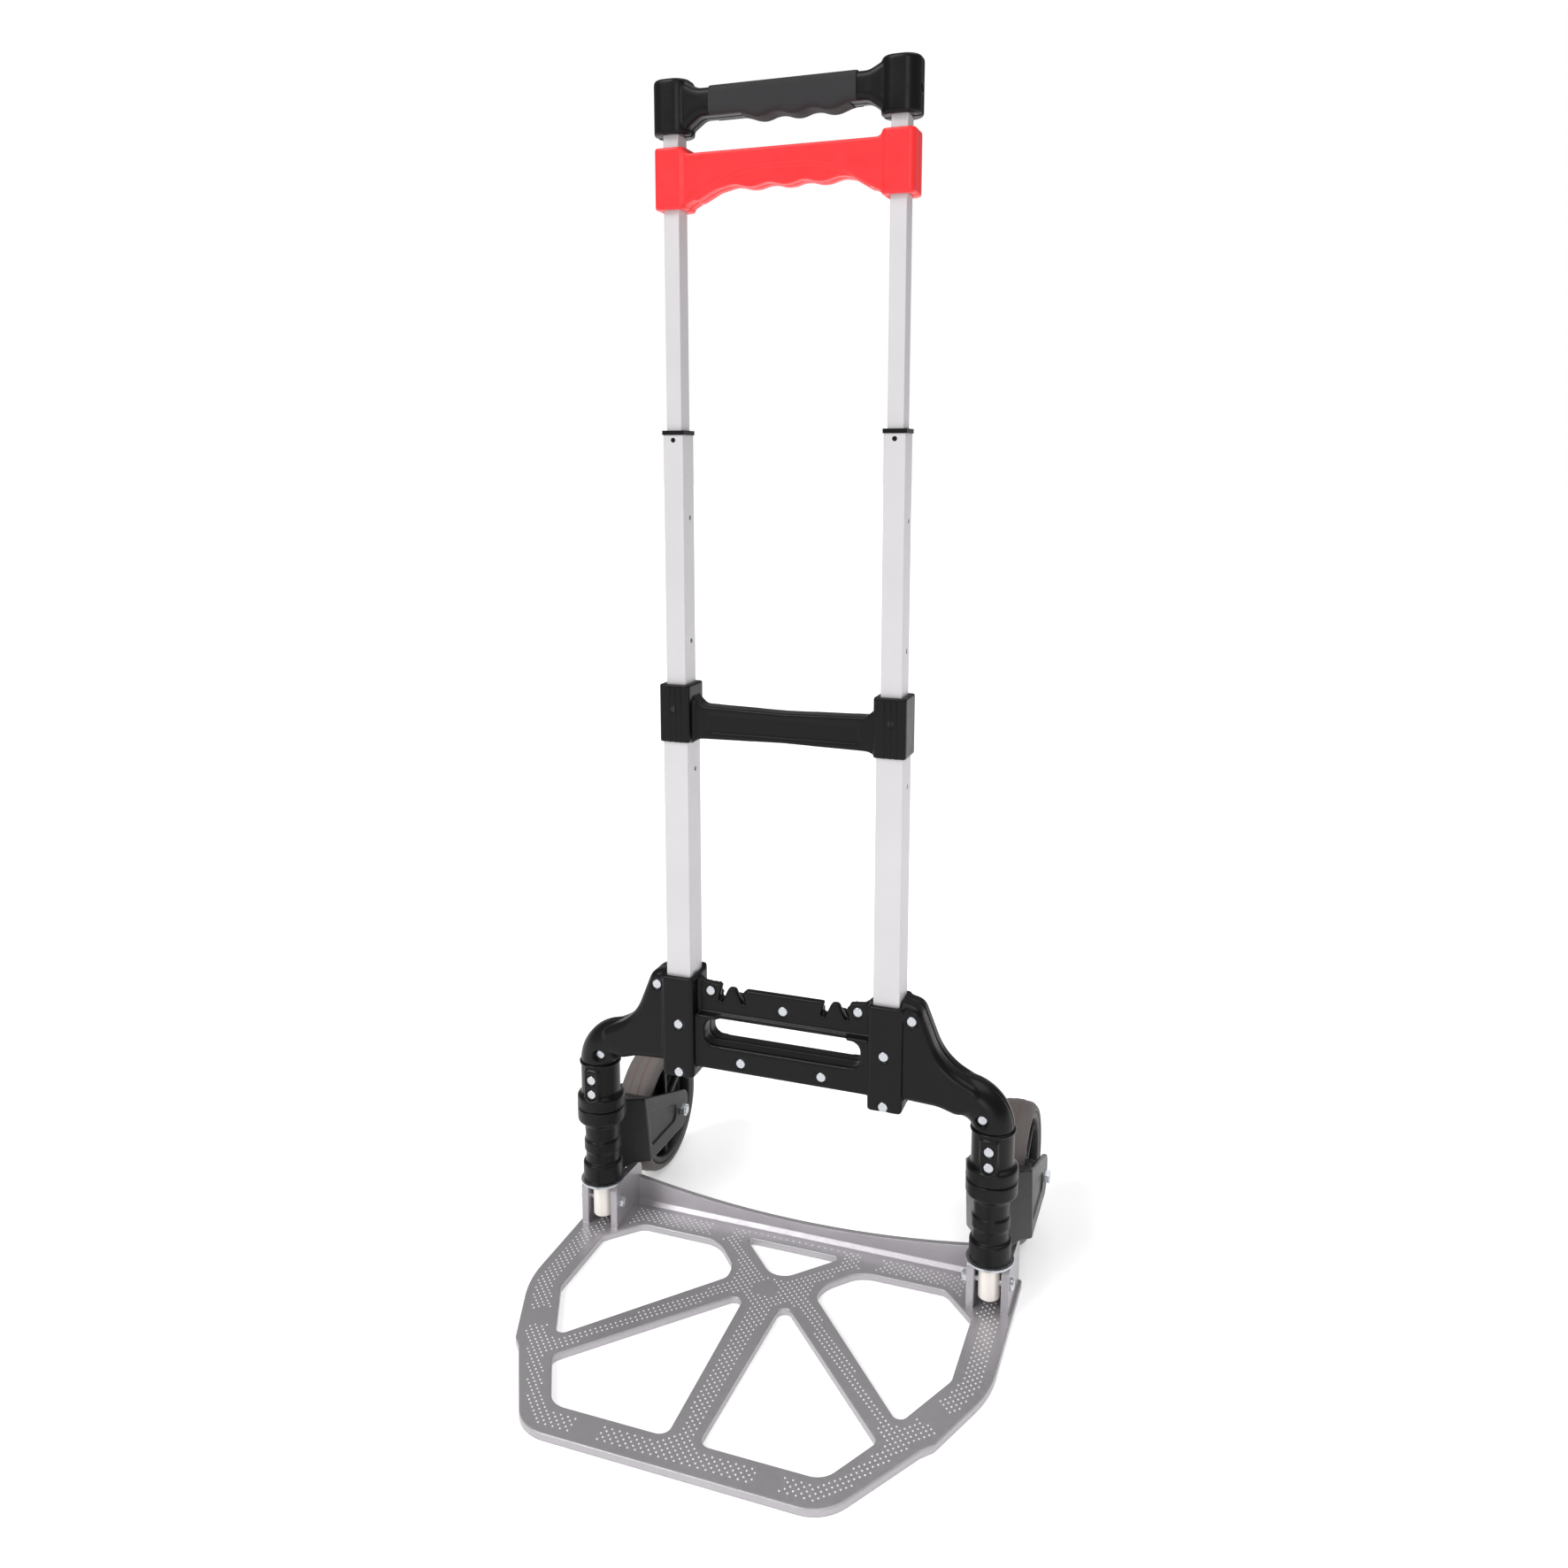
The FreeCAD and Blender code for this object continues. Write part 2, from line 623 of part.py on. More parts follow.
def make_toe_plate():
    save("toe_plate", toe_plate())
    near = POST_X - CHEEK_GAP - CHEEK_T
    far = POST_X + CHEEK_GAP + CHEEK_T
    shank = rod(HINGE_R, (near - 5.0, POST_Y, HINGE_Z), (far + 0.5, POST_Y, HINGE_Z))
    head = rod(5.2, (far, POST_Y, HINGE_Z), (far + 3.0, POST_Y, HINGE_Z))
    head = fillet_where(head, 2.0, lambda e: e.BoundBox.XMin > far + 2.9)
    save("hinge_bolts", Part.makeCompound(both_sides(join([shank, head]))))
    nut = hex_prism(9.0, (near - 4.0, POST_Y, HINGE_Z), (near, POST_Y, HINGE_Z))
    nut = nut.cut(rod(HINGE_R, (near - 10, POST_Y, HINGE_Z), (near + 5, POST_Y, HINGE_Z)))
    save("hinge_nuts", Part.makeCompound(both_sides(nut)))


# ---- wheel brackets -------------------------------------------------------------------------
def bracket_sleeve():
    """Stack of rings that turns on the post."""
    return turned(
        [
            (0.0, SLEEVE_BOTTOM, 0.0),
            (17.6, SLEEVE_BOTTOM, 1.0),
            (17.6, 68.5, 1.2),
            (14.9, 69.5, 1.0),
            (14.9, 79.6, 1.0),
            (16.3, 80.6, 0.8),
            (16.3, 90.6, 1.0),
            (14.9, 91.4, 0.8),
            (15.6, 106.0, 2.0),
            (BULGE_R, 110.5, 3.0),
            (BULGE_R, SLEEVE_TOP, 0.8),
            (0.0, SLEEVE_TOP, 0.0),
        ],
        POST_X,
        POST_Y,
    )


def web_plan(fold, z):
    """Outline of the flared web and the fork at one height, for a given distance to the fold."""
    outer = FORK_INNER + FORK_T
    right = [(13.0, 4.0), (outer, fold), (outer, 140.0)]
    left = [(-u, v) for u, v in reversed(right)]
    corners = [V(POST_X + u, POST_Y + v, z) for u, v in right + left]
    return Part.makePolygon(corners + corners[:1])


def fork():
    """Flared web and two side plates, cut to the side view's outline."""
    outer = FORK_INNER + FORK_T
    top, bottom = 125.0, 40.0
    solid = Part.makeLoft([web_plan(WEB_FOLD[1], bottom), web_plan(WEB_FOLD[0], top)], True, True)
    axle_y = POST_Y + AXLE_TRAIL
    side = [
        (POST_Y, 55.0, 0.0),
        (POST_Y + 24.0, 55.0, 4.0),
        (POST_Y + 42.0, FORK_BOTTOM + 1.0, 8.0),
        (axle_y + FORK_END - 6.0, FORK_BOTTOM - 1.0, 12.0),
        (axle_y + FORK_END, AXLE_Z + 14.5, 13.0),
        (POST_Y + 32.0, 116.5, 14.0),
        (POST_Y + 16.0, 122.6, 4.0),
        (POST_Y, 122.6, 0.0),
    ]
    solid = solid.common(prism_yz(side, POST_X - 40, POST_X + 40))
    wheel_room = box(POST_X - FORK_INNER, POST_X + FORK_INNER, POST_Y + 47.0, POST_Y + 150.0, 30, 140)
    web_room = prism_xy(
        [
            (POST_X - 13.0, POST_Y + 17.0, 2.0),
            (POST_X + 13.0, POST_Y + 17.0, 2.0),
            (POST_X + 22.5, POST_Y + 48.0, 0.0),
            (POST_X - 22.5, POST_Y + 48.0, 0.0),
        ],
        40,
        106,
    )
    pocket_outline = [
        (POST_Y + 46.0, 62.0, 2.0),
        (axle_y - 15.5, 61.0, 7.0),
        (axle_y - 13.5, 76.5, 6.0),
        (POST_Y + 41.0, 99.5, 2.0),
    ]
    skin = 1.6
    near = prism_yz(pocket_outline, POST_X - outer - 1, POST_X - outer + skin)
    far = prism_yz(pocket_outline, POST_X + outer - skin, POST_X + outer + 1)
    return solid.cut([wheel_room, web_room, near, far])


def wheel_bracket():
    """Sleeve and fork in one moulding."""
    whole = join([bracket_sleeve(), fork()])
    axle_y = POST_Y + AXLE_TRAIL
    bore = rod(CORE_R + RUN, (POST_X, POST_Y, 30), (POST_X, POST_Y, 150))
    axle = rod(AXLE_R, (POST_X - 50, axle_y, AXLE_Z), (POST_X + 50, axle_y, AXLE_Z))
    return whole.cut([bore, axle])


def make_brackets():
    save_pair("wheel_bracket", wheel_bracket())
    axle_y = POST_Y + AXLE_TRAIL
    outer = FORK_INNER + FORK_T
    shank = rod(AXLE_R, (POST_X - outer - 5.5, axle_y, AXLE_Z), (POST_X + outer, axle_y, AXLE_Z))
    head = hex_prism(11.0, (POST_X + outer, axle_y, AXLE_Z), (POST_X + outer + 4.0, axle_y, AXLE_Z))
    save_pair("axle_bolt", join([shank, head]))
    nut = hex_prism(11.0, (POST_X - outer - 4.5, axle_y, AXLE_Z), (POST_X - outer, axle_y, AXLE_Z))
    nut = nut.cut(rod(AXLE_R, (POST_X - outer - 9, axle_y, AXLE_Z), (POST_X, axle_y, AXLE_Z)))
    save_pair("axle_nut", nut)


# ---- wheels ---------------------------------------------------------------------------------
def about_axle(profile):
    """Solid of revolution about the axle from (radius, offset along x, corner radius) points."""
    axle_y = POST_Y + AXLE_TRAIL
    wire = rounded_wire(profile, lambda p: V(POST_X + p.y, axle_y, AXLE_Z + p.x))
    return Part.Face(wire).revolve(V(POST_X, axle_y, AXLE_Z), V(1, 0, 0), 360)


def tyre():
    bead = RIM_R + 0.5
    half = [
        (RIM_R, -14.0, 0.6),
        (bead, -15.4, 0.6),
        (57.0, -TYRE_HALF, 2.5),
        (TYRE_R - 1.0, -12.0, 7.0),
        (TYRE_R - 0.4, -4.6, 2.0),
        (TYRE_R, -4.0, 0.3),
    ]
    return about_axle(half + [(r, -x, bend) for r, x, bend in reversed(half)])


def hub():
    """Rim, middle web, boss and spoke ribs."""
    axle_y = POST_Y + AXLE_TRAIL
    rim_half = [(RIM_LIP_R - 1.0, -9.0, 1.0), (RIM_LIP_R, -14.4, 0.8), (RIM_R - 1.0, -15.4, 1.0), (RIM_R, -14.0, 0.0)]
    rim = about_axle(rim_half + [(r, -x, bend) for r, x, bend in reversed(rim_half)])
    web = about_axle([(5.0, -3.0, 0.0), (50.0, -3.0, 0.0), (50.0, 3.0, 0.0), (5.0, 3.0, 0.0)])
    boss_half = [(5.0, -HUB_BOSS_END, 0.0), (9.5, -HUB_BOSS_END, 0.0), (HUB_BOSS_R, -14.0, 1.0)]
    boss = about_axle(boss_half + [(r, -x, bend) for r, x, bend in reversed(boss_half)])
    parts = [rim, boss, web]
    for k in range(SPOKES):
        spoke = box(POST_X - 11.0, POST_X + 11.0, axle_y - 2.5, axle_y + 2.5, AXLE_Z + 8, AXLE_Z + 49)
        spoke.rotate(V(POST_X, axle_y, AXLE_Z), V(1, 0, 0), 360.0 * k / SPOKES)
        parts.append(spoke)
    return join(parts)


def make_wheels():
    axle_y = POST_Y + AXLE_TRAIL
    bush_r = 6.0
    room = rod(bush_r, (POST_X - 40, axle_y, AXLE_Z), (POST_X + 40, axle_y, AXLE_Z))
    save_pair("tyre", tyre())
    save_pair("hub", hub().cut(room))
    bush = rod(bush_r, (POST_X - HUB_BOSS_END, axle_y, AXLE_Z), (POST_X + HUB_BOSS_END, axle_y, AXLE_Z))
    bore = rod(AXLE_R + RUN, (POST_X - 40, axle_y, AXLE_Z), (POST_X + 40, axle_y, AXLE_Z))
    save_pair("wheel_bush", bush.cut(bore))


# ---- telescoping stages ---------------------------------------------------------------------
def foot(x, outer, inner, lock_z):
    """Guide block under a sliding tube: fills the outer tube, plugs the inner one, holds a lock pin."""
    half_x = outer[0] / 2 - outer[2] - FIT
    half_y = outer[1] / 2 - outer[2] - FIT
    top = lock_z + 8.4
    block = column(x, half_x, half_y, top - 16.0, top)
    plug = column(x, inner[0] / 2 - inner[2], inner[1] / 2 - inner[2], top - 1, top + 8)
    bore = rod(LOCK_R + RUN, (x - 3.0, 2.5, lock_z), (x + 20, 2.5, lock_z))
    return join([block, plug]).cut(bore)


def lock_pin(x, outer, lock_z):
    tip = x + outer[0] / 2 - outer[2] - FIT
    pin = rod(LOCK_R, (tip - 8.0, 2.5, lock_z), (tip, 2.5, lock_z))
    return fillet_where(pin, 0.6, lambda e: e.BoundBox.XMin > tip - 0.1)


def middle_collar():
    flange = column(TUBE_X, MIDDLE_TUBE[0] / 2 + 0.9, MIDDLE_TUBE[1] / 2 + 0.9, 728.0, 731.5, 1.0)
    skirt_x = MIDDLE_TUBE[0] / 2 - MIDDLE_TUBE[2]
    skirt_y = MIDDLE_TUBE[1] / 2 - MIDDLE_TUBE[2]
    skirt = column(TUBE_X, skirt_x, skirt_y, 712.0, 729.0)
    hole = column(TUBE_X, UPPER_TUBE[0] / 2 + FIT, UPPER_TUBE[1] / 2 + FIT, 700, 740)
    pin_room = rod(2.0, (TUBE_X, -20, 723.8), (TUBE_X, -UPPER_TUBE[1] / 2 - 0.5, 723.8))
    return join([flange, skirt]).cut([hole, pin_room])


def collar_pin():
    """Pin that holds a mouth collar, flush with the tube's front face."""
    return rod(2.0, (TUBE_X, -MIDDLE_TUBE[1] / 2, 723.8), (TUBE_X, -UPPER_TUBE[1] / 2 - 0.5, 723.8))


def make_middle_stage():
    for name, x in (("left", -TUBE_X), ("right", TUBE_X)):
        body = tube(x, MIDDLE_TUBE, MIDDLE_TUBE_Z)
        cuts = [side_hole(x, z, LOCK_R + 0.1) for z in (UPPER_LOCK_Z, SPARE_LOCK_Z)]
        cuts.append(rod(2.0, (x, -20, 723.8), (x, -8, 723.8)))
        save(name + "_middle_tube", body.cut(cuts))
        save(name + "_middle_foot", foot(x, LOWER_TUBE, MIDDLE_TUBE, LOWER_LOCK_Z))
        save(name + "_middle_lock", lock_pin(x, LOWER_TUBE, LOWER_LOCK_Z))
    save_pair("middle_collar", middle_collar())
    save("middle_collar_pins", Part.makeCompound(both_sides(collar_pin())))


def make_upper_stage():
    for name, x in (("left", -TUBE_X), ("right", TUBE_X)):
        body = tube(x, UPPER_TUBE, UPPER_TUBE_Z)
        inner_x = x - math.copysign(10.0, x)
        slot = box(min(x, inner_x), max(x, inner_x), -2.2, 2.2, 920.0, 936.0)
        save(name + "_upper_tube", body.cut(slot))
        save(name + "_upper_foot", foot(x, MIDDLE_TUBE, UPPER_TUBE, UPPER_LOCK_Z))
        save(name + "_upper_lock", lock_pin(x, MIDDLE_TUBE, UPPER_LOCK_Z))
    wall = UPPER_TUBE[2]
    plug = column(TUBE_X, UPPER_TUBE[0] / 2 - wall, UPPER_TUBE[1] / 2 - wall, SPRING_TOP, UPPER_TUBE_Z[1])
    save("upper_tube_plugs", Part.makeCompound(both_sides(plug)))


# ---- top handle -----------------------------------------------------------------------------
def finger_edge(middle, crest_z, valley_z, radius):
    """Underside with three finger crests, from right to left."""
    corners = []
    for k in (1, 0, -1):
        x = middle + k * FINGER_PITCH
        corners.append((x + FINGER_PITCH / 2, valley_z, radius))
        corners.append((x, crest_z, radius))
    corners.append((middle - 1.5 * FINGER_PITCH, valley_z, radius))
    return corners


def handle_body():
    """Two end caps and the bar between them, as one solid before it is split."""
    cap = column(TUBE_X, CAP_HALF[0], CAP_HALF[1], CAP_Z[0], CAP_Z[1], 12.0)
    cap = fillet_where(cap, 2.5, lambda e: flat_in_z(e, CAP_Z[1]))
    cap = fillet_where(cap, 1.0, lambda e: flat_in_z(e, CAP_Z[0]))
    outline = [
        (0.0, BAR_BOTTOM, 0.0),
        (68.0, BAR_BOTTOM, 10.0),
        (82.0, 962.5, 0.0),
        (82.0, 1000.5, 0.0),
        (69.0, BAR_TOP, 12.0),
        (0.0, BAR_TOP, 0.0),
    ]
    arm = prism_xz(outline, -BAR_HALF_Y, BAR_HALF_Y)
    arm = fillet_where(arm, 5.0, lambda e: is_face_rim(e, BAR_HALF_Y))
    return join(both_sides(cap) + both_sides(arm))


def grip_outline():
    low, high = GRIP_X
    corners = [(low, BAR_TOP + GRIP_SKIN, 0.0), (low, BAR_BOTTOM - 0.5, 0.0)]
    corners += reversed(finger_edge(GRIP_FINGER_X, BAR_BOTTOM - 5.5, BAR_BOTTOM - 0.4, 19.0))
    corners += [(high, BAR_BOTTOM - 0.5, 0.0), (high, BAR_TOP + GRIP_SKIN, 0.0)]
    return corners


def grip(body):
    half = BAR_HALF_Y + GRIP_SKIN
    skin = prism_xz(grip_outline(), -half, half)
    skin = fillet_where(skin, 5.0, lambda e: is_face_rim(e, half))
    return skin.cut(body)


def handle_screw(x, z):
    head = rod(3.0, (x, BAR_HALF_Y - 1.6, z), (x, BAR_HALF_Y + 0.4, z))
    shank = rod(1.4, (x, -4.0, z), (x, BAR_HALF_Y - 1.0, z))
    return join([head, shank])


HANDLE_SCREWS = [(70.0, 983.0), (-70.0, 983.0)]


def make_handle():
    body = handle_body()
    tube_room = column(TUBE_X, UPPER_TUBE[0] / 2, UPPER_TUBE[1] / 2, CAP_Z[0] - 1, UPPER_TUBE_Z[1])
    side_port = rod(4.0, (TUBE_X + 10, 0, 979.5), (TUBE_X + 20, 0, 979.5))
    screws = Part.makeCompound([handle_screw(x, z) for x, z in HANDLE_SCREWS])
    save("handle_grip", grip(body))
    body = body.cut(both_sides(tube_room) + both_sides(side_port) + [screws])
    far = 400.0
    save("handle_front_shell", body.common(box(-far, far, -far, 0, 0, 2000)))
    save("handle_back_shell", body.common(box(-far, far, 0, far, 0, 2000)))
    save("handle_screws", screws)


# ---- release handle, pull rods and return springs -------------------------------------------
def release_body(y0, y1):
    """One half of the red handle: two sleeves, an arched bar and a finger-shaped lip."""
    side = 1 if y1 > 0 else -1
    sleeve = column(TUBE_X, RELEASE_HALF[0], RELEASE_HALF[1], RELEASE_Z[0], RELEASE_Z[1], 5.0)
    sleeve = fillet_where(sleeve, 1.0, lambda e: flat_in_z(e, RELEASE_Z[0]) or flat_in_z(e, RELEASE_Z[1]))
    keep = box(-300, 300, min(y0, y1), max(y0, y1), 0, 2000)
    arch = [
        (0.0, 931.5, 0.0),
        (38.0, 930.5, 80.0),
        (76.0, 908.5, 8.0),
        (83.0, 905.0, 0.0),
        (83.0, 949.5, 0.0),
        (77.0, RELEASE_BAR_TOP, 4.0),
        (0.0, RELEASE_BAR_TOP, 0.0),
    ]
    bar = prism_xz(arch, -RELEASE_BAR_HALF_Y, RELEASE_BAR_HALF_Y)
    bar = fillet_where(bar, 1.2, lambda e: is_face_rim(e, RELEASE_BAR_HALF_Y))
    lip_outline = [(-74.0, 908.0, 3.0), (-74.0, 934.0, 0.0), (74.0, 934.0, 0.0), (74.0, 908.0, 3.0)]
    lip_outline += [(56.0, 919.0, 10.0)]
    lip_outline += finger_edge(RELEASE_FINGER_X, 916.4, 920.6, 20.0)
    lip_outline += [(-56.0, 917.0, 10.0)]
    lip = prism_xz(lip_outline, 0.0, side * RELEASE_LIP_HALF_Y)
    whole = join(both_sides(sleeve) + both_sides(bar) + [lip])
    return whole.common(keep)


def pull_rod():
    """Wire down the inside of an upper tube, with a cross pin that the red handle lifts."""
    wire = rod(ROD_R, (TUBE_X, 0, ROD_Z[0]), (TUBE_X, 0, ROD_Z[1]))
    flange = rod(4.4, (TUBE_X, 0, ROD_Z[1] - 1.0), (TUBE_X, 0, ROD_Z[1]))
    pin = rod(1.8, (TUBE_X - 9.5, 0, 924.0), (TUBE_X + 2.0, 0, 924.0))
    return join([wire, flange, pin])


def return_spring():
    """Coil between the rod's flange and the plug at the tube's top."""
    height = SPRING_TOP - ROD_Z[1] - 1.0
    coil_r = 3.7
    wire_r = 0.45
    path = Part.Wire(Part.makeHelix(height / 7, height, coil_r).Edges)
    section = Part.Wire(Part.makeCircle(wire_r, V(coil_r, 0, 0), V(0, 1, 0)))
    coil = path.makePipeShell([section], True, True)
    coil.translate(V(TUBE_X, 0, ROD_Z[1] + 0.5))
    return coil


RELEASE_SCREWS = [(66.0, 938.0), (-66.0, 938.0)]


def release_screw(x, z):
    head = rod(3.0, (x, 10.4, z), (x, 12.2, z))
    shank = rod(1.4, (x, -4.0, z), (x, 11.0, z))
    return join([head, shank])


def make_release():
    sliding = column(TUBE_X, UPPER_TUBE[0] / 2 + FIT, UPPER_TUBE[1] / 2 + FIT, 880, 970)
    pin_room = rod(1.8, (TUBE_X - 9.5, 0, 924.0), (TUBE_X, 0, 924.0))
    screws = Part.makeCompound([release_screw(x, z) for x, z in RELEASE_SCREWS])
    cuts = both_sides(sliding) + both_sides(pin_room) + [screws]
    save("release_front_shell", release_body(-40, 0).cut(cuts))
    save("release_back_shell", release_body(0, 40).cut(cuts))
    save("release_screws", screws)
    save_pair("pull_rod", pull_rod())
    save_pair("return_spring", return_spring())


os.makedirs("parts", exist_ok=True)
make_casting()
make_posts()
make_lower_tubes()
make_crossbar()
make_toe_plate()
make_brackets()
make_wheels()
make_middle_stage()
make_upper_stage()
make_handle()
make_release()
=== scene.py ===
import json
import math

import bmesh
import bpy
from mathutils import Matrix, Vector
from mathutils.bvhtree import BVHTree


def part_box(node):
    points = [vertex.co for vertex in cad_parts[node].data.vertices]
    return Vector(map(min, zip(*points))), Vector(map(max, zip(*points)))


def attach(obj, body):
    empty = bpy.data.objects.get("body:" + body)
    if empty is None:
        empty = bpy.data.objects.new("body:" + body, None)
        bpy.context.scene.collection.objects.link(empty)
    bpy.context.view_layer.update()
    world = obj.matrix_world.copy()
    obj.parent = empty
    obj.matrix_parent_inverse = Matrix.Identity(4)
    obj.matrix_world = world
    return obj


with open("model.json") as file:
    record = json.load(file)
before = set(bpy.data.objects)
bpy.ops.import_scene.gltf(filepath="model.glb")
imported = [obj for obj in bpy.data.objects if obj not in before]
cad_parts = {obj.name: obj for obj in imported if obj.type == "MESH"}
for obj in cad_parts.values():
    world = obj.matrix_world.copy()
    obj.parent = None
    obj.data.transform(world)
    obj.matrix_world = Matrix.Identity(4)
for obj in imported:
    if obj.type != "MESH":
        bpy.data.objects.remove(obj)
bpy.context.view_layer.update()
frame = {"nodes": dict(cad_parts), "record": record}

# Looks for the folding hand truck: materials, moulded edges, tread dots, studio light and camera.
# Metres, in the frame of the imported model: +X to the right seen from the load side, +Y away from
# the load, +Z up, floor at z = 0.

MM = 0.001
nodes = frame["nodes"]
slot_of = {part["node"]: part["material_slot"] for part in frame["record"]["subparts"]}

# ---- driving values -------------------------------------------------------------------------
MOULD_VOXEL = 0.9 * MM           # grid that the moulded plastic pieces are remeshed on
MOULD_SMOOTHING = 5
CASTING_VOXEL = 1.2 * MM         # coarser grid for the large frame shells
CASTING_SMOOTHING = 6
HANDLE_SMOOTHING = 11

EDGE_RADIUS = 0.5 * MM           # rounding of machined edges, seen in highlights
PIN_EDGE_RADIUS = 0.3 * MM       # lock pins, pull rods, springs and the crossbar's sunk screws
FASTENER_EDGE_RADIUS = 0.7 * MM  # rivets, bolts, nuts and washers
HUB_EDGE_RADIUS = 0.8 * MM
PLATE_EDGE_RADIUS = 1.3 * MM

PLATE_TOP = 6.0 * MM             # height of the toe plate's load face
DOT_PITCH = 6.1 * MM             # tread dots: spacing along a row; rows lie half of it apart
DOT_RADIUS = 0.95 * MM
DOT_HEIGHT = 0.5 * MM
DOT_PROFILE = [(1.0, -0.15), (0.92, 0.30), (0.66, 0.74), (0.30, 0.96)]  # shares of radius, height
DOT_SIDES = 8
DOT_MARGIN = 6.0 * MM            # plain border between dots and any edge of the plate
BLANK_RADIUS = 11.0 * MM         # round plain spots without dots
BLANK_SIDE = (71.6, 22.6)        # mm from the middle of the line between the posts; in mirrored pairs
BLANK_CORNER = (168.3, -140.2)
BLANK_FRONT = (71.6, -239.7)
BLANK_MIDDLE = (-3.0, -41.6)     # the single spot where the ribs meet

COLLAR_BULGE_STEP = 4.0 * MM     # a post collar's bulge stands this far out of its neck
COLLAR_LIP_DROP = 0.6 * MM       # middle of the lip, under the collar's top
COLLAR_LIP_SIZE = (1.3 * MM, 1.6 * MM)
BULGE_LIP_INSET = 0.5 * MM
BULGE_LIP_RISE = 1.2 * MM
BULGE_LIP_SIZE = (0.7 * MM, 0.9 * MM)
RIB_RADIUS = 0.55 * MM           # upright ribs on the crossbar's sleeves
RIB_OFFSETS = (-4.1 * MM, 1.1 * MM, 5.9 * MM)
RIB_SUNK = 0.15 * MM             # a rib's axis lies this far behind the sleeve's face
RIB_END_GAP = 1.5 * MM

FLOOR_REACH = 40.0
FLOOR_DROP = 0.2 * MM            # the floor lies a touch below the truck
FLOOR_GLOW = 0.35                # the floor is lit from below, as on a light table
SUNS = [                         # name, direction towards the light, strength, spread in degrees
    ("key_light", (-0.55, -0.85, 0.85), 1.7, 30.0),
    ("front_light", (0.345, -0.94, 0.27), 0.5, 18.0),
    ("top_light", (0.25, 0.10, 1.0), 1.25, 50.0),
]
SURROUND_LIGHT = 0.26            # the white surround as a light
SURROUND_SEEN = 1.0              # the same surround where it is seen behind the truck

CAMERA_PLACE = Vector((0.3489, -0.9455, 0.7042))
CAMERA_YAW = 19.868              # degrees, turned towards -X from straight along +Y
CAMERA_PITCH = 8.858             # degrees below the horizon
CAMERA_LENS = 29.44              # mm
CAMERA_SENSOR = 36.0             # mm
CAMERA_SHIFT = (0.003, -0.0763)  # share of the frame
CAMERA_NEAR = 0.01


# ---- material building ----------------------------------------------------------------------
class Recipe:
    """A Principled material and short ways to add procedural detail to it."""

    def __init__(self, name, metallic=0.0, specular=0.5):
        self.material = bpy.data.materials.new(name)
        self.material.use_nodes = True
        self.tree = self.material.node_tree
        self.shader = self.tree.nodes["Principled BSDF"]
        self.shader.inputs["Metallic"].default_value = metallic
        self.shader.inputs["Specular IOR Level"].default_value = specular
        self.place = self.add("ShaderNodeTexCoord").outputs["Object"]
        self.normal = None

    def add(self, kind, **values):
        node = self.tree.nodes.new(kind)
        for key, value in values.items():
            setattr(node, key, value)
        return node

    def feed(self, socket, value):
        """Link a socket, or set it to a plain value."""
        if isinstance(value, bpy.types.NodeSocket):
            self.tree.links.new(value, socket)
        else:
            socket.default_value = value

    def stretched(self, scale):
        """Object coordinates multiplied along each axis."""
        mapping = self.add("ShaderNodeMapping")
        self.feed(mapping.inputs["Vector"], self.place)
        mapping.inputs["Scale"].default_value = scale
        return mapping.outputs["Vector"]

    def noise(self, size, detail=3.0, roughness=0.55, vector=None):
        """Noise from 0 to 1 whose features are about size metres across."""
        node = self.add("ShaderNodeTexNoise")
        self.feed(node.inputs["Vector"], vector or self.place)
        node.inputs["Scale"].default_value = 1.0 / size
        node.inputs["Detail"].default_value = detail
        node.inputs["Roughness"].default_value = roughness
        return node.outputs["Fac"]

    def cells(self, size):
        """Distance to the nearest of scattered points about size metres apart."""
        node = self.add("ShaderNodeTexVoronoi")
        self.feed(node.inputs["Vector"], self.place)
        node.inputs["Scale"].default_value = 1.0 / size
        return node.outputs["Distance"]

    def combine(self, operation, first, second=0.0):
        node = self.add("ShaderNodeMath", operation=operation)
        self.feed(node.inputs[0], first)
        self.feed(node.inputs[1], second)
        return node.outputs[0]

    def spread(self, value, low, high, start=0.3, end=0.7):
        """Map value from start..end, by default the bulk of a noise, to low..high."""
        node = self.add("ShaderNodeMapRange")
        self.feed(node.inputs["Value"], value)
        node.inputs["From Min"].default_value = start
        node.inputs["From Max"].default_value = end
        node.inputs["To Min"].default_value = low
        node.inputs["To Max"].default_value = high
        return node.outputs["Result"]

    def blend(self, factor, first, second):
        """Mix two colours, each a socket or red, green and blue."""
        node = self.add("ShaderNodeMix", data_type="RGBA")
        self.feed(node.inputs["Factor"], factor)
        for socket, colour in (("A", first), ("B", second)):
            plain = not isinstance(colour, bpy.types.NodeSocket)
            self.feed(node.inputs[socket], (*colour, 1.0) if plain else colour)
        return node.outputs["Result"]

    def colour(self, value):
        self.feed(self.shader.inputs["Base Color"], value)

    def roughness(self, value):
        self.feed(self.shader.inputs["Roughness"], value)

    def soft_edges(self, radius):
        node = self.add("ShaderNodeBevel", samples=4)
        node.inputs["Radius"].default_value = radius
        self.normal = node.outputs["Normal"]

    def bump(self, height, depth):
        """Raise the surface by height (0 to 1) times depth metres."""
        node = self.add("ShaderNodeBump")
        self.feed(node.inputs["Height"], height)
        node.inputs["Distance"].default_value = depth
        node.inputs["Strength"].default_value = 1.0
        if self.normal is not None:
            self.feed(node.inputs["Normal"], self.normal)
        self.normal = node.outputs["Normal"]

    def done(self):
        if self.normal is not None:
            self.feed(self.shader.inputs["Normal"], self.normal)
        return self.material


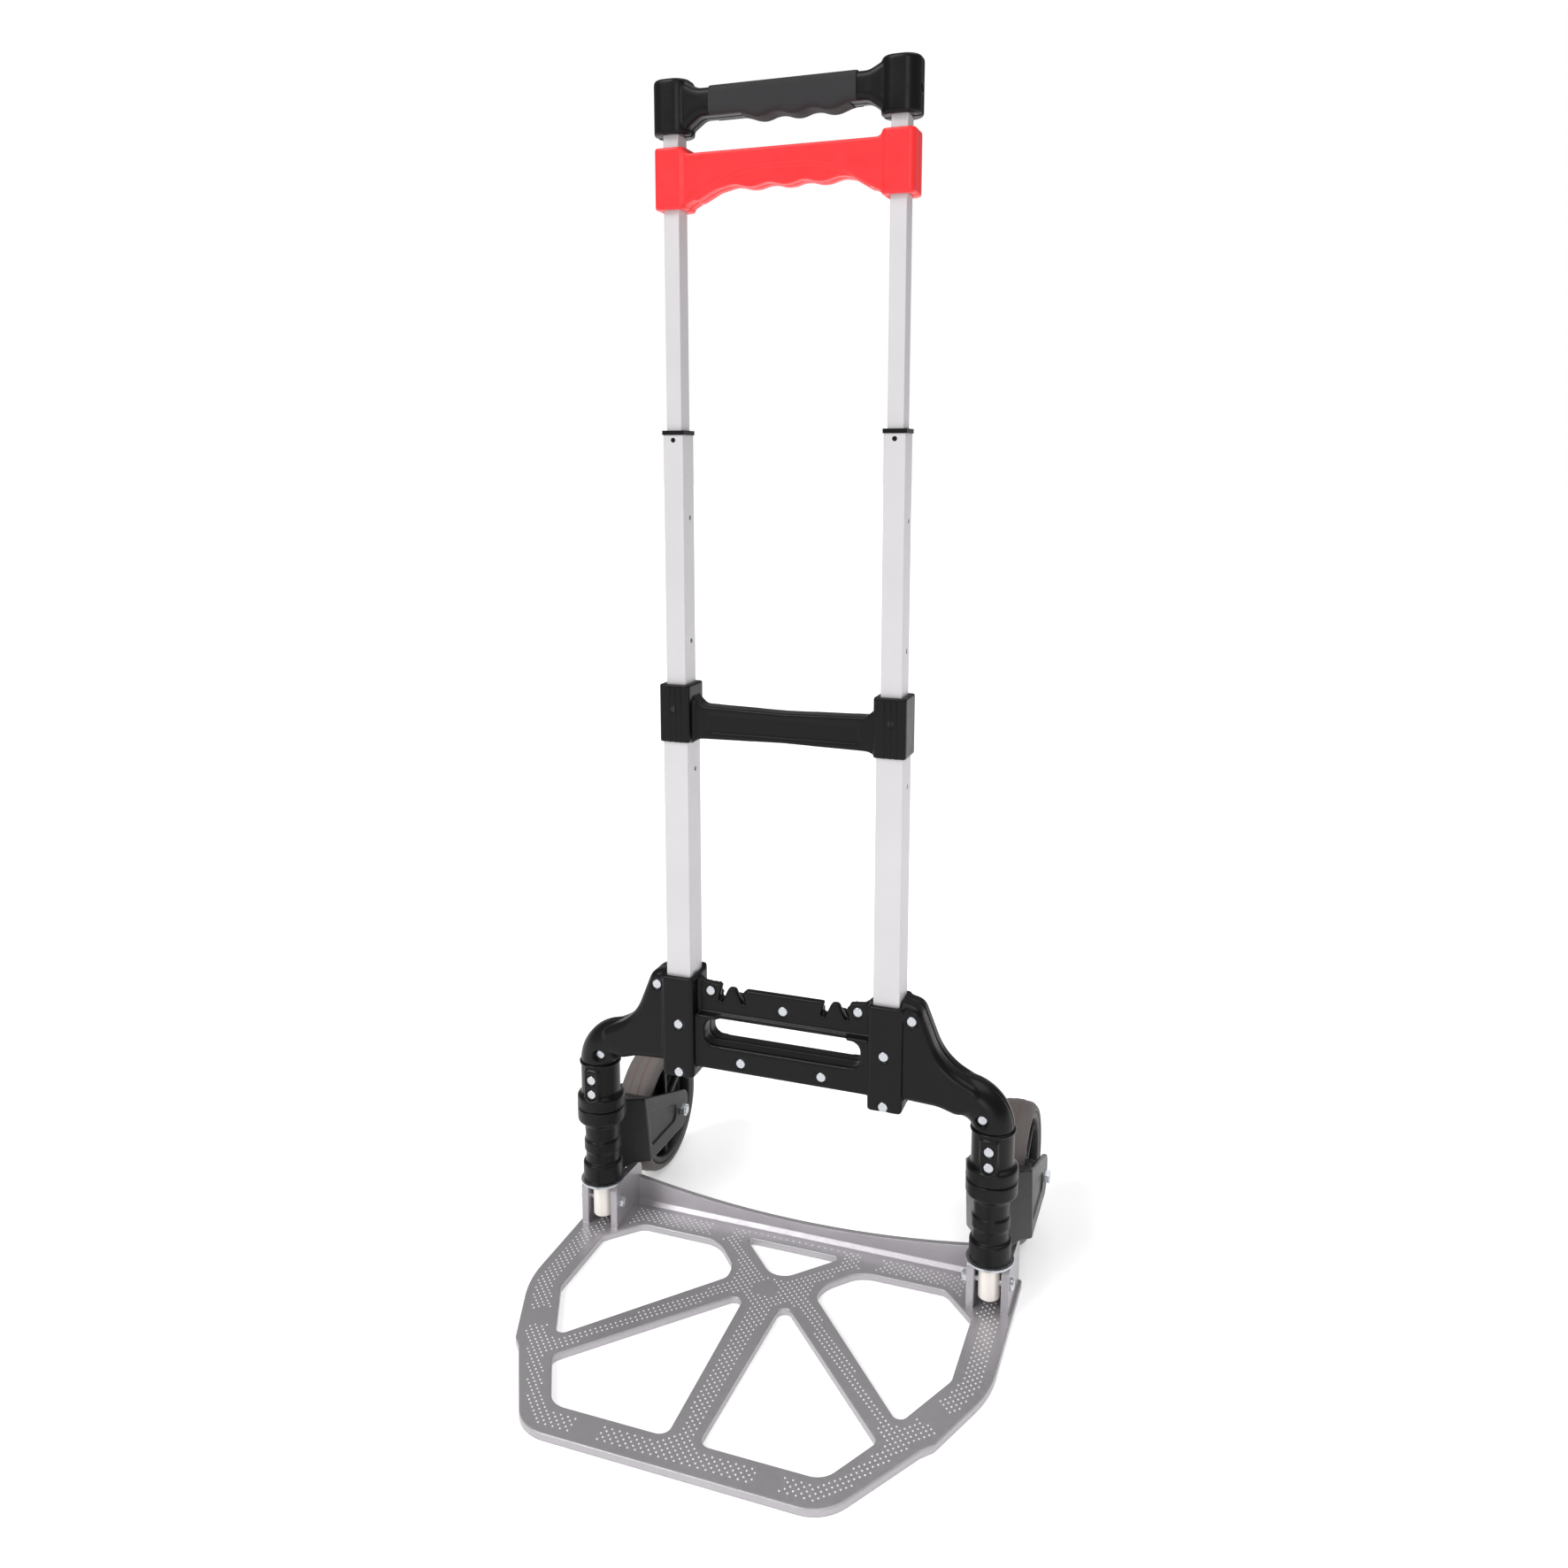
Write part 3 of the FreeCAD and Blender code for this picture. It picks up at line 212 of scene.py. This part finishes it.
# ---- materials ------------------------------------------------------------------------------
def black_plastic():
    """Moulded nylon: near black, satin, fine spark-eroded grain, faint scuffs."""
    r = Recipe("black_plastic", specular=0.21)
    cloud = r.noise(38 * MM, 4.0)
    r.colour(r.blend(cloud, (0.0024, 0.0021, 0.0025), (0.0046, 0.0042, 0.0048)))
    scuff = r.spread(r.noise(9 * MM, 8.0, 0.7), 0.0, 0.12, start=0.55, end=0.75)
    r.roughness(r.combine("ADD", r.spread(cloud, 0.3, 0.38), scuff))
    r.bump(r.noise(0.42 * MM, 2.0), 0.035 * MM)
    r.bump(r.noise(7 * MM, 2.0), 0.10 * MM)
    return r.done()


def hub_plastic():
    """Black moulded wheel centre, a little duller than the frame."""
    r = Recipe("hub_plastic", specular=0.35)
    cloud = r.noise(20 * MM, 4.0)
    r.colour(r.blend(cloud, (0.0045, 0.0045, 0.005), (0.009, 0.0085, 0.009)))
    r.roughness(r.spread(cloud, 0.36, 0.5))
    r.soft_edges(HUB_EDGE_RADIUS)
    r.bump(r.noise(0.5 * MM, 2.0), 0.04 * MM)
    return r.done()


def bush_plastic():
    """Pale bearing plastic round the axle."""
    r = Recipe("bush_plastic", specular=0.4)
    cloud = r.noise(4 * MM, 3.0)
    r.colour(r.blend(cloud, (0.62, 0.6, 0.55), (0.74, 0.73, 0.68)))
    r.roughness(r.spread(cloud, 0.4, 0.55))
    r.bump(r.noise(0.6 * MM, 2.0), 0.03 * MM)
    return r.done()


def grip_rubber():
    """Soft matt grip with a fine pebbled skin."""
    r = Recipe("grip_rubber", specular=0.25)
    cloud = r.noise(16 * MM, 5.0)
    r.colour(r.blend(cloud, (0.024, 0.0225, 0.0245), (0.034, 0.032, 0.034)))
    r.roughness(r.spread(cloud, 0.62, 0.78))
    r.bump(r.cells(0.8 * MM), 0.05 * MM)
    r.bump(r.noise(0.3 * MM, 2.0), 0.04 * MM)
    return r.done()


def red_plastic():
    """Bright moulded plastic with a satin skin and faint flow marks."""
    r = Recipe("red_plastic", specular=0.3)
    cloud = r.noise(30 * MM, 4.0)
    r.colour(r.blend(cloud, (0.84, 0.026, 0.030), (0.93, 0.037, 0.043)))
    r.roughness(r.spread(r.noise(12 * MM, 5.0), 0.3, 0.42))
    r.bump(r.noise(0.5 * MM, 2.0), 0.03 * MM)
    return r.done()


def tube_aluminium():
    """Satin anodised extrusion: fine draw lines along the tube."""
    r = Recipe("tube_aluminium", metallic=0.35)
    draw = r.noise(0.35 * MM, 3.0, vector=r.stretched((1.0, 1.0, 0.012)))
    cloud = r.noise(45 * MM, 4.0)
    r.colour(r.blend(cloud, (0.60, 0.582, 0.60), (0.66, 0.642, 0.66)))
    r.roughness(r.spread(draw, 0.40, 0.54, start=0.25, end=0.75))
    r.soft_edges(EDGE_RADIUS)
    r.bump(draw, 0.012 * MM)
    return r.done()


def plate_aluminium():
    """Silver-grey powder coat with fine orange peel and metallic flecks."""
    r = Recipe("plate_aluminium", metallic=0.55)
    cloud = r.noise(55 * MM, 5.0)
    fleck = r.spread(r.noise(0.5 * MM, 2.0), 0.0, 0.5, start=0.45, end=0.75)
    base = r.blend(cloud, (0.390, 0.374, 0.396), (0.460, 0.443, 0.466))
    r.colour(r.blend(fleck, base, (0.56, 0.54, 0.56)))
    r.roughness(r.spread(r.noise(5 * MM, 5.0), 0.3, 0.42))
    r.soft_edges(PLATE_EDGE_RADIUS)
    r.bump(r.noise(1.1 * MM, 3.0), 0.04 * MM)
    return r.done()


def painted_highlight_dots():
    """Tops of the tread dots, painted near white as a highlight."""
    r = Recipe("painted_highlight_dots", metallic=0.3)
    highlight_cloud = r.noise(14 * MM, 5.0)
    # painted highlight: the dots' colour is set near white, varied by a noise
    r.colour(r.blend(highlight_cloud, (0.66, 0.64, 0.66), (0.92, 0.91, 0.92)))
    r.roughness(r.spread(r.noise(2 * MM, 3.0), 0.3, 0.45))
    r.bump(r.noise(0.5 * MM, 2.0), 0.02 * MM)
    return r.done()


def post_steel():
    """Turned post with a warm, pale finish and fine upright lines."""
    r = Recipe("post_steel", metallic=0.25)
    lines = r.noise(0.5 * MM, 3.0, vector=r.stretched((1.0, 1.0, 0.05)))
    r.colour(r.blend(lines, (0.90, 0.84, 0.79), (0.97, 0.92, 0.87)))
    r.roughness(r.spread(lines, 0.38, 0.52))
    r.soft_edges(EDGE_RADIUS)
    r.bump(lines, 0.02 * MM)
    return r.done()


def zinc_steel():
    """Bright zinc plate with a slight spangle."""
    r = Recipe("zinc_steel", metallic=0.9)
    spangle = r.noise(1.6 * MM, 4.0)
    r.colour(r.blend(spangle, (0.42, 0.44, 0.47), (0.70, 0.72, 0.75)))
    r.roughness(r.spread(spangle, 0.22, 0.4))
    r.soft_edges(FASTENER_EDGE_RADIUS)
    r.bump(r.noise(0.7 * MM, 3.0), 0.03 * MM)
    return r.done()


def lock_steel():
    """Dull grey steel of the lock pins, pull rods and springs inside the tubes."""
    r = Recipe("lock_steel", metallic=0.9)
    grain = r.noise(1.2 * MM, 4.0)
    r.colour(r.blend(grain, (0.36, 0.36, 0.37), (0.5, 0.5, 0.5)))
    r.roughness(r.spread(grain, 0.3, 0.45))
    r.soft_edges(PIN_EDGE_RADIUS)
    return r.done()


def black_screw():
    """Blackened screw sunk in the crossbar's sleeves."""
    r = Recipe("black_screw", metallic=0.4)
    grain = r.noise(0.8 * MM, 4.0)
    r.colour(r.blend(grain, (0.012, 0.010, 0.009), (0.030, 0.025, 0.022)))
    r.roughness(r.spread(grain, 0.35, 0.55))
    r.soft_edges(PIN_EDGE_RADIUS)
    return r.done()


def mould_line(r):
    """Strength of the wavering lines on both sides of a tyre's middle, along the tread."""
    line_from_middle = 4.3 * MM
    line_width = 0.9 * MM
    waver = 1.2 * MM
    low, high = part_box("right_tyre")
    tyre_middle = (low.x + high.x) / 2
    split = r.add("ShaderNodeSeparateXYZ")
    r.feed(split.inputs["Vector"], r.place)
    across = r.combine("ABSOLUTE", split.outputs["X"])
    off_middle = r.combine("ABSOLUTE", r.combine("SUBTRACT", across, tyre_middle))
    from_line = r.combine("ABSOLUTE", r.combine("SUBTRACT", off_middle, line_from_middle))
    wobble = r.combine("MULTIPLY", r.noise(6 * MM, 4.0), waver)
    return r.spread(r.combine("SUBTRACT", from_line, wobble), 0.75, 0.0, start=0.0, end=line_width)


def tyre_rubber():
    """Warm grey solid rubber: brownish mould lines beside the tread's middle band, light soiling."""
    r = Recipe("tyre_rubber", specular=0.3)
    line = mould_line(r)
    cloud = r.noise(14 * MM, 6.0, 0.65)
    base = r.blend(cloud, (0.118, 0.102, 0.099), (0.162, 0.144, 0.140))
    soiling = r.spread(r.noise(5 * MM, 6.0, 0.7), 0.0, 0.55, start=0.56, end=0.78)
    stained = r.blend(soiling, base, (0.115, 0.085, 0.068))
    r.colour(r.blend(line, stained, (0.145, 0.10, 0.072)))
    r.roughness(r.spread(cloud, 0.5, 0.68))
    r.bump(r.noise(0.6 * MM, 3.0), 0.05 * MM)
    r.bump(r.noise(9 * MM, 3.0), 0.15 * MM)
    return r.done()


MATERIALS = {
    "black_plastic": black_plastic(),
    "hub_plastic": hub_plastic(),
    "bush_plastic": bush_plastic(),
    "grip_rubber": grip_rubber(),
    "red_plastic": red_plastic(),
    "tube_aluminium": tube_aluminium(),
    "plate_aluminium": plate_aluminium(),
    "post_steel": post_steel(),
    "zinc_steel": zinc_steel(),
    "lock_steel": lock_steel(),
    "tyre_rubber": tyre_rubber(),
}


def dress(obj, slot):
    obj.data.materials.clear()
    obj.data.materials.append(MATERIALS[slot])


for name, obj in nodes.items():
    dress(obj, slot_of[name])
nodes["crossbar_screws"].data.materials[0] = black_screw()


# ---- moulded pieces: soft edges all over ----------------------------------------------------
def soften(name, voxel, rounds):
    """Rebuild a moulded piece on a fine grid and relax it, so that every edge is slightly round."""
    remesh = nodes[name].modifiers.new("mould", "REMESH")
    remesh.mode = "VOXEL"
    remesh.voxel_size = voxel
    remesh.use_smooth_shade = True
    relax = nodes[name].modifiers.new("relax", "SMOOTH")
    relax.factor = 0.5
    relax.iterations = rounds


for face_side in ("front", "back"):
    soften("frame_" + face_side + "_shell", CASTING_VOXEL, CASTING_SMOOTHING)
    soften("handle_" + face_side + "_shell", MOULD_VOXEL, HANDLE_SMOOTHING)
    soften("release_" + face_side + "_shell", MOULD_VOXEL, HANDLE_SMOOTHING)
soften("handle_grip", MOULD_VOXEL, HANDLE_SMOOTHING)
soften("crossbar", MOULD_VOXEL, MOULD_SMOOTHING)
for side in ("left", "right"):
    for piece in ("_post_collar", "_wheel_bracket", "_hub"):
        soften(side + piece, MOULD_VOXEL, MOULD_SMOOTHING)


# ---- mesh helpers ---------------------------------------------------------------------------
def mesh_piece(name, mesh):
    """Turn a bmesh into a smooth-shaded object."""
    for face in mesh.faces:
        face.smooth = True
    data = bpy.data.meshes.new(name)
    mesh.to_mesh(data)
    mesh.free()
    piece = bpy.data.objects.new(name, data)
    bpy.context.scene.collection.objects.link(piece)
    return piece


def ring_of_points(mesh, x, y, z, radius, count):
    """Points on a level circle."""
    turns = [2 * math.pi * k / count for k in range(count)]
    return [mesh.verts.new((x + radius * math.cos(t), y + radius * math.sin(t), z)) for t in turns]


def join_rings(mesh, rings):
    """Faces between each ring of points and the next one up."""
    for lower, upper in zip(rings, rings[1:]):
        count = len(lower)
        for k in range(count):
            n = (k + 1) % count
            mesh.faces.new((lower[k], lower[n], upper[n], upper[k]))


def middle_of(node):
    """Upright axis through the middle of a node's box, at height 0."""
    low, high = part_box(node)
    return Vector(((low.x + high.x) / 2, (low.y + high.y) / 2, 0.0))


# ---- tread dots on the toe plate ------------------------------------------------------------
def plate_probe():
    """A test for whether a point of the plate's top, and a margin round it, is flat and open."""
    plate = nodes["toe_plate"].data
    corners = [vertex.co for vertex in plate.vertices]
    faces = [tuple(polygon.vertices) for polygon in plate.polygons]
    tree = BVHTree.FromPolygons(corners, faces)
    above = 1.0
    flatness = 0.02 * MM
    directions = 12

    def on_top(x, y):
        hit = tree.ray_cast(Vector((x, y, above)), Vector((0, 0, -1)))[0]
        return hit is not None and abs(hit.z - PLATE_TOP) < flatness

    def clear(x, y, margin):
        for k in range(directions):
            turn = 2 * math.pi * k / directions
            if not on_top(x + margin * math.cos(turn), y + margin * math.sin(turn)):
                return False
        return on_top(x, y)

    return clear


def dome(mesh, x, y):
    """Low dome with a skirt sunk just under the plate's top."""
    rings = []
    for share, rise in DOT_PROFILE:
        height = PLATE_TOP + DOT_HEIGHT * rise
        rings.append(ring_of_points(mesh, x, y, height, DOT_RADIUS * share, DOT_SIDES))
    join_rings(mesh, rings)
    tip = mesh.verts.new((x, y, PLATE_TOP + DOT_HEIGHT))
    for k in range(DOT_SIDES):
        mesh.faces.new((rings[-1][k], rings[-1][(k + 1) % DOT_SIDES], tip))


def blank_spots():
    """Middles of the plain round spots, as points on the plate."""
    post_y = middle_of("right_post").y
    offsets = [BLANK_MIDDLE]
    for x, y in (BLANK_SIDE, BLANK_CORNER, BLANK_FRONT):
        offsets += [(x, y), (-x, y)]
    return [Vector((x * MM, post_y + y * MM)) for x, y in offsets]


def tread_dots():
    """Staggered rows of dots on the plate's flat top, clear of its edges and of the plain spots."""
    clear = plate_probe()
    spots = blank_spots()
    low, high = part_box("toe_plate")
    row_pitch = DOT_PITCH / 2
    rows = int((high.y - low.y) / row_pitch)
    columns = int((high.x - low.x) / DOT_PITCH) + 1
    mesh = bmesh.new()
    for row in range(rows):
        y = low.y + row * row_pitch
        offset = row_pitch if row % 2 else 0.0
        for column in range(columns):
            x = low.x + offset + column * DOT_PITCH
            if any((Vector((x, y)) - spot).length < BLANK_RADIUS for spot in spots):
                continue
            if clear(x, y, DOT_MARGIN):
                dome(mesh, x, y)
    dots = mesh_piece("tread_dots", mesh)
    # the dots carry the painted highlight colour
    dots.data.materials.append(painted_highlight_dots())
    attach(dots, "toe_plate")


tread_dots()


# ---- fine mouldings riding on the CAD pieces ------------------------------------------------
def black_moulding(obj, body):
    dress(obj, "black_plastic")
    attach(obj, body)


def bead(name, centre, radius, z, half_width, half_height):
    """Ring of oval section turned about an upright axis."""
    around = 64
    section = 12
    angles = [2 * math.pi * k / section for k in range(section)]
    profile = [(radius + half_width * math.cos(a), z + half_height * math.sin(a)) for a in angles]
    mesh = bmesh.new()
    slices = []
    for k in range(around):
        turn = 2 * math.pi * k / around
        slices.append([
            mesh.verts.new((centre.x + r * math.cos(turn), centre.y + r * math.sin(turn), height))
            for r, height in profile
        ])
    for k in range(around):
        here = slices[k]
        beside = slices[(k + 1) % around]
        for i in range(section):
            j = (i + 1) % section
            mesh.faces.new((here[i], beside[i], beside[j], here[j]))
    bmesh.ops.recalc_face_normals(mesh, faces=mesh.faces)
    return mesh_piece(name, mesh)


def post_mouldings(side):
    """Two raised rims on a post collar: at its top, where the elbow drops in, and at its foot."""
    low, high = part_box(side + "_post_collar")
    centre = middle_of(side + "_post")
    bulge = (high.x - low.x) / 2
    neck = bulge - COLLAR_BULGE_STEP
    lip = bead(side + "_collar_lip", centre, neck, high.z - COLLAR_LIP_DROP, *COLLAR_LIP_SIZE)
    black_moulding(lip, "frame")
    lip_z = low.z + BULGE_LIP_RISE
    lip = bead(side + "_bulge_lip", centre, bulge - BULGE_LIP_INSET, lip_z, *BULGE_LIP_SIZE)
    black_moulding(lip, "frame")


def capsule(mesh, x, y, bottom, top):
    """Upright rib with rounded ends."""
    around = 12
    end = [(0.35, 0.06), (0.8, 0.4), (1.0, 1.0)]
    heights = [(share, bottom + rise * RIB_RADIUS) for share, rise in end]
    heights += [(share, top - rise * RIB_RADIUS) for share, rise in reversed(end)]
    rings = [ring_of_points(mesh, x, y, z, share * RIB_RADIUS, around) for share, z in heights]
    join_rings(mesh, rings)
    mesh.faces.new(list(reversed(rings[0])))
    mesh.faces.new(rings[-1])


def sleeve_ribs(side):
    """Upright ribs down the front of a crossbar sleeve, beside its screw."""
    low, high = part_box("crossbar")
    tube = middle_of(side + "_lower_tube")
    mesh = bmesh.new()
    for offset in RIB_OFFSETS:
        capsule(mesh, tube.x + offset, low.y + RIB_SUNK, low.z + RIB_END_GAP, high.z - RIB_END_GAP)
    black_moulding(mesh_piece(side + "_sleeve_ribs", mesh), "frame")


for side in ("left", "right"):
    post_mouldings(side)
    sleeve_ribs(side)


# ---- studio ---------------------------------------------------------------------------------
def add_floor():
    """Wide pale floor that glows a little, so that it stays near white under the truck."""
    far = FLOOR_REACH
    mesh = bpy.data.meshes.new("floor")
    corners = [(-far, -far, 0.0), (far, -far, 0.0), (far, far, 0.0), (-far, far, 0.0)]
    mesh.from_pydata(corners, [], [(0, 1, 2, 3)])
    floor = bpy.data.objects.new("floor", mesh)
    floor.location.z = -FLOOR_DROP
    bpy.context.scene.collection.objects.link(floor)
    r = Recipe("pale_floor", specular=0.1)
    r.colour(r.blend(r.noise(0.4, 3.0), (0.90, 0.90, 0.90), (0.92, 0.92, 0.92)))
    r.roughness(0.9)
    r.shader.inputs["Emission Color"].default_value = (1.0, 1.0, 1.0, 1.0)
    r.shader.inputs["Emission Strength"].default_value = FLOOR_GLOW
    mesh.materials.append(r.done())


def add_sun(name, towards, strength, angle):
    """Very wide soft light from one side; towards points from the truck to the light."""
    data = bpy.data.lights.new(name, "SUN")
    data.energy = strength
    data.angle = math.radians(angle)
    sun = bpy.data.objects.new(name, data)
    sun.rotation_euler = Vector(towards).to_track_quat("Z", "Y").to_euler()
    bpy.context.scene.collection.objects.link(sun)


def add_world():
    """Even white surround: full white behind the truck, dimmer as a light on it."""
    world = bpy.data.worlds.new("studio")
    world.use_nodes = True
    bpy.context.scene.world = world
    tree = world.node_tree
    lit = tree.nodes["Background"]
    backdrop = tree.nodes.new("ShaderNodeBackground")
    for background, strength in ((lit, SURROUND_LIGHT), (backdrop, SURROUND_SEEN)):
        background.inputs["Color"].default_value = (1.0, 1.0, 1.0, 1.0)
        background.inputs["Strength"].default_value = strength
    path = tree.nodes.new("ShaderNodeLightPath")
    pick = tree.nodes.new("ShaderNodeMixShader")
    tree.links.new(path.outputs["Is Camera Ray"], pick.inputs["Fac"])
    tree.links.new(lit.outputs["Background"], pick.inputs[1])
    tree.links.new(backdrop.outputs["Background"], pick.inputs[2])
    tree.links.new(pick.outputs["Shader"], tree.nodes["World Output"].inputs["Surface"])


def add_camera():
    data = bpy.data.cameras.new("camera")
    data.lens = CAMERA_LENS
    data.sensor_width = CAMERA_SENSOR
    data.shift_x, data.shift_y = CAMERA_SHIFT
    data.clip_start = CAMERA_NEAR
    camera = bpy.data.objects.new("camera", data)
    camera.location = CAMERA_PLACE
    camera.rotation_euler = (math.radians(90.0 - CAMERA_PITCH), 0.0, math.radians(CAMERA_YAW))
    bpy.context.scene.collection.objects.link(camera)
    bpy.context.scene.camera = camera


add_floor()
for sun in SUNS:
    add_sun(*sun)
add_world()
add_camera()
bpy.context.scene.view_settings.view_transform = "Standard"
